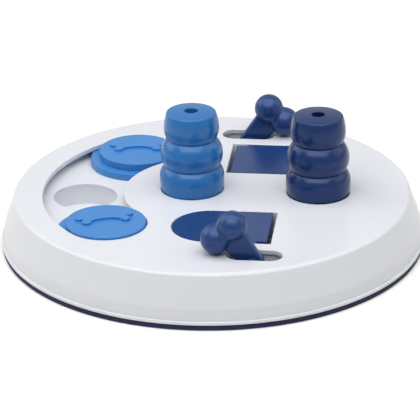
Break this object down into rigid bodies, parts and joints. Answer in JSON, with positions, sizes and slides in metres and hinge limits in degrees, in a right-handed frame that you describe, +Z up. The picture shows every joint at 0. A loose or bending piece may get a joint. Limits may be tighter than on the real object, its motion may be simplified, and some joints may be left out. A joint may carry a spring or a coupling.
{
  "type": "dog puzzle feeder toy",
  "caption": "Round dog treat puzzle: sliding discs in a bent track, flip lids worked by bone levers and lift-off ribbed cones hide treat wells in a bevelled board.",
  "frame": {"origin": "centre of the round footprint, on the surface it stands on", "axes": "+Z up, +X to the side of the dark cone, -Y towards the front lever; the bent track is on the -X side"},
  "size_m": [0.2306, 0.2306, 0.0745],
  "materials": {
    "white_board": "semi-matte moulded polypropylene",
    "foot_ring": "matte thermoplastic rubber",
    "steel": "zinc-plated",
    "light_cone": "semi-matte moulded polypropylene",
    "dark_cone": "semi-matte moulded polypropylene",
    "lever_blue": "semi-matte moulded polypropylene",
    "slider_blue": "semi-matte moulded polypropylene"
  },
  "bodies": {
    "board": {"top_shell": "white_board", "track_tray": "white_board", "rear_treat_cup": "white_board", "middle_treat_cup": "white_board", "front_treat_cup": "white_board", "front_treat_bin": "white_board", "rear_treat_bin": "white_board", "base_plate": "white_board", "non_slip_ring": "foot_ring", "base_screws": "steel", "tray_screws": "steel", "bin_screws": "steel"},
    "light_cone": {"light_cone": "light_cone"},
    "dark_cone": {"dark_cone": "dark_cone"},
    "front_lever": {"front_bone_handle": "lever_blue", "front_flip_lid": "lever_blue", "front_lid_axle": "steel"},
    "rear_lever": {"rear_bone_handle": "lever_blue", "rear_flip_lid": "lever_blue", "rear_lid_axle": "steel"},
    "front_glide": {"front_slider_glide": "slider_blue"},
    "front_cap": {"front_slider_cap": "slider_blue"},
    "rear_glide": {"rear_slider_glide": "slider_blue"},
    "rear_cap": {"rear_slider_cap": "slider_blue"}
  },
  "joints": [
    {"name": "light_cone_lift", "type": "slide", "parent": "board", "child": "light_cone", "axis": [0, 0, 1], "range_m": [0, 0.06]},
    {"name": "dark_cone_lift", "type": "slide", "parent": "board", "child": "dark_cone", "axis": [0, 0, 1], "range_m": [0, 0.06]},
    {"name": "front_lever_swing", "type": "hinge", "parent": "board", "child": "front_lever", "pos_m": [0.0303, -0.0572, 0.0238], "axis": [0, 1, 0], "range_deg": [0, 80]},
    {"name": "rear_lever_swing", "type": "hinge", "parent": "board", "child": "rear_lever", "pos_m": [0.0126, 0.0572, 0.0238], "axis": [0, -1, 0], "range_deg": [0, 80]},
    {"name": "front_slider_travel", "type": "hinge", "parent": "board", "child": "front_glide", "pos_m": [0, 0, 0.024], "axis": [0, 0, 1], "range_deg": [-45, 0]},
    {"name": "rear_slider_travel", "type": "hinge", "parent": "board", "child": "rear_glide", "pos_m": [0, 0, 0.024], "axis": [0, 0, 1], "range_deg": [0, 45]},
    {"name": "front_cap_spin", "type": "hinge", "parent": "front_glide", "child": "front_cap", "pos_m": [-0.05198, -0.04763, 0.027], "axis": [0, 0, 1], "continuous": true},
    {"name": "rear_cap_spin", "type": "hinge", "parent": "rear_glide", "child": "rear_cap", "pos_m": [-0.04763, 0.05198, 0.027], "axis": [0, 0, 1], "continuous": true}
  ]
}
